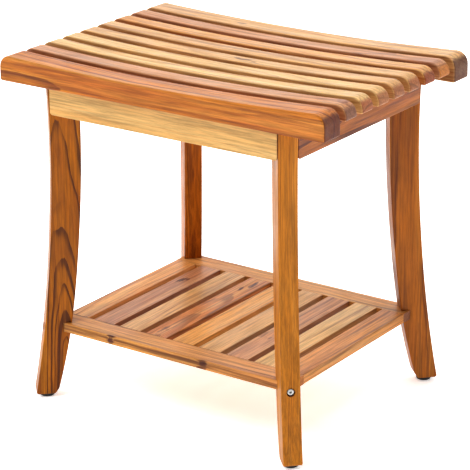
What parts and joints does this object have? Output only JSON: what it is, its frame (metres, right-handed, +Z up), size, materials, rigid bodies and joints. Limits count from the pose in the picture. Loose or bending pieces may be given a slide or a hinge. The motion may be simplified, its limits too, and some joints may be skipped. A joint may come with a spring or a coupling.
{
  "type": "shower stool",
  "caption": "Teak shower stool with a dished slatted seat, four swept legs set on the diagonal, a slatted shelf and levelling feet",
  "frame": {"origin": "on the floor, under the middle of the stool", "axes": "X runs along the seat slats, Y runs from the front to the back, Z is up"},
  "size_m": [0.485, 0.3562, 0.4541],
  "materials": {
    "teak_seat": "satin oiled",
    "teak_edge_slat": "satin oiled",
    "teak_apron": "satin oiled",
    "teak_leg": "satin oiled",
    "teak_shelf": "satin oiled",
    "teak_bearer": "sawn and sealed",
    "dowel_wood": "plain",
    "steel": "brushed",
    "brass_insert": "machined",
    "black_nylon": "matte moulded"
  },
  "bodies": {
    "frame": {"front_edge_slat": "teak_edge_slat", "back_edge_slat": "teak_edge_slat", "seat_slat_1": "teak_seat", "seat_slat_2": "teak_seat", "seat_slat_3": "teak_seat", "seat_slat_4": "teak_seat", "seat_slat_5": "teak_seat", "seat_slat_6": "teak_seat", "seat_slat_7": "teak_seat", "front_apron": "teak_apron", "back_apron": "teak_apron", "left_apron": "teak_apron", "right_apron": "teak_apron", "left_seat_bearer": "teak_bearer", "middle_seat_bearer": "teak_bearer", "right_seat_bearer": "teak_bearer", "front_left_leg": "teak_leg", "front_right_leg": "teak_leg", "back_left_leg": "teak_leg", "back_right_leg": "teak_leg", "shelf_front_rail": "teak_shelf", "shelf_back_rail": "teak_shelf", "shelf_left_board": "teak_shelf", "shelf_right_board": "teak_shelf", "shelf_slat_1": "teak_shelf", "shelf_slat_2": "teak_shelf", "shelf_slat_3": "teak_shelf", "shelf_slat_4": "teak_shelf", "shelf_slat_5": "teak_shelf", "shelf_slat_6": "teak_shelf", "shelf_slat_7": "teak_shelf", "apron_dowels": "dowel_wood", "shelf_dowels": "dowel_wood", "seat_slat_screws": "steel", "bearer_screws": "steel", "edge_slat_screws": "steel", "shelf_bolts": "steel", "foot_inserts": "brass_insert"},
    "front_left_foot": {"front_left_foot_pad": "black_nylon", "front_left_foot_stud": "steel"},
    "front_right_foot": {"front_right_foot_pad": "black_nylon", "front_right_foot_stud": "steel"},
    "back_left_foot": {"back_left_foot_pad": "black_nylon", "back_left_foot_stud": "steel"},
    "back_right_foot": {"back_right_foot_pad": "black_nylon", "back_right_foot_stud": "steel"}
  },
  "joints": [
    {"name": "front_left_foot_level", "type": "slide", "parent": "frame", "child": "front_left_foot", "axis": [0, 0, -1], "range_m": [0, 0.008]},
    {"name": "front_right_foot_level", "type": "slide", "parent": "frame", "child": "front_right_foot", "axis": [0, 0, -1], "range_m": [0, 0.008]},
    {"name": "back_left_foot_level", "type": "slide", "parent": "frame", "child": "back_left_foot", "axis": [0, 0, -1], "range_m": [0, 0.008]},
    {"name": "back_right_foot_level", "type": "slide", "parent": "frame", "child": "back_right_foot", "axis": [0, 0, -1], "range_m": [0, 0.008]}
  ]
}
